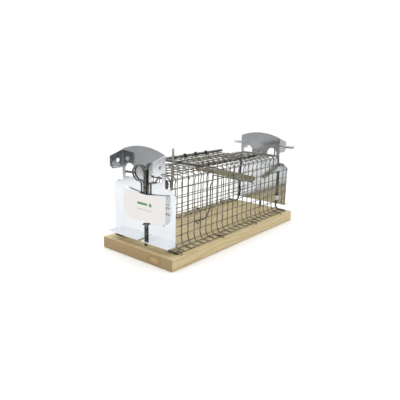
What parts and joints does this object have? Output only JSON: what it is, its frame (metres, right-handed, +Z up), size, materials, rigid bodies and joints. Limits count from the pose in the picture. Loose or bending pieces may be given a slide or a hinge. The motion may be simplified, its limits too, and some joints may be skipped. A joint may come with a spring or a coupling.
{
  "type": "live catch trap",
  "caption": "Wire cage on a wooden board with sheet steel ends, lifting doors, a hinged top hatch and a trip bar, for catching small animals alive.",
  "frame": {"origin": "on the underside of the board, under the middle of the trap", "axes": "+X along the board towards the far end, +Y towards the side with the hatch hinge, +Z up"},
  "size_m": [0.3192, 0.13, 0.1455],
  "materials": {
    "pine": "planed, unvarnished pine",
    "galvanised_sheet": "smooth galvanised sheet",
    "mesh_wire": "welded galvanised mesh wire",
    "heavy_wire": "drawn steel wire",
    "bright_steel": "bright zinc plated steel",
    "label_card": "coated card",
    "passivated_strip": "yellow passivated steel strip"
  },
  "bodies": {
    "cage": {"base_board": "pine", "near_end_plate": "galvanised_sheet", "far_end_plate": "galvanised_sheet", "near_door_housing": "galvanised_sheet", "far_door_housing": "galvanised_sheet", "near_housing_rivets": "galvanised_sheet", "far_housing_rivets": "galvanised_sheet", "near_label": "label_card", "near_anchor_wire": "heavy_wire", "far_anchor_wire": "heavy_wire", "near_hoop": "heavy_wire", "far_hoop": "heavy_wire", "near_hoop_clips": "galvanised_sheet", "far_hoop_clips": "galvanised_sheet", "front_mesh_wall": "mesh_wire", "back_mesh_wall": "mesh_wire", "near_roof_mesh": "mesh_wire", "far_roof_mesh": "mesh_wire", "front_roof_strip": "mesh_wire", "back_roof_strip": "mesh_wire", "front_mesh_foot": "mesh_wire", "back_mesh_foot": "mesh_wire", "foot_staples": "bright_steel", "hatch_hinge_eyes": "mesh_wire", "trip_pivot_rod": "bright_steel", "trip_rest_wire": "mesh_wire"},
    "near_door": {"near_door": "galvanised_sheet", "near_lift_wire": "heavy_wire"},
    "far_door": {"far_door": "galvanised_sheet", "far_lift_wire": "heavy_wire"},
    "hatch": {"hatch_frame": "heavy_wire", "hatch_mesh": "mesh_wire"},
    "trip_bar": {"trip_bar": "passivated_strip"},
    "bait_hook": {"bait_hook": "bright_steel"},
    "bait_rod": {"bait_rod": "bright_steel", "bait_rod_collar": "bright_steel"},
    "lock_pin": {"lock_pin": "bright_steel"}
  },
  "joints": [
    {"name": "near_door_lift", "type": "slide", "parent": "cage", "child": "near_door", "axis": [0, 0, 1], "range_m": [0, 0.0345]},
    {"name": "far_door_lift", "type": "slide", "parent": "cage", "child": "far_door", "axis": [0, 0, 1], "range_m": [0, 0.0345]},
    {"name": "hatch_hinge", "type": "hinge", "parent": "cage", "child": "hatch", "pos_m": [0, 0.035, 0.117], "axis": [-1, 0, 0], "range_deg": [0, 105]},
    {"name": "trip_pivot", "type": "hinge", "parent": "cage", "child": "trip_bar", "pos_m": [-0.03, 0, 0.1058], "axis": [0, 1, 0], "range_deg": [-12, 0]},
    {"name": "bait_hook_swing", "type": "hinge", "parent": "trip_bar", "child": "bait_hook", "pos_m": [0.00136, 0, 0.09533], "axis": [0, 1, 0], "range_deg": [-3, 25]},
    {"name": "bait_rod_lift", "type": "slide", "parent": "cage", "child": "bait_rod", "axis": [0, 0, 1], "range_m": [0, 0.03]},
    {"name": "lock_pin_pull", "type": "slide", "parent": "cage", "child": "lock_pin", "axis": [0, -1, 0], "range_m": [0, 0.1]}
  ]
}
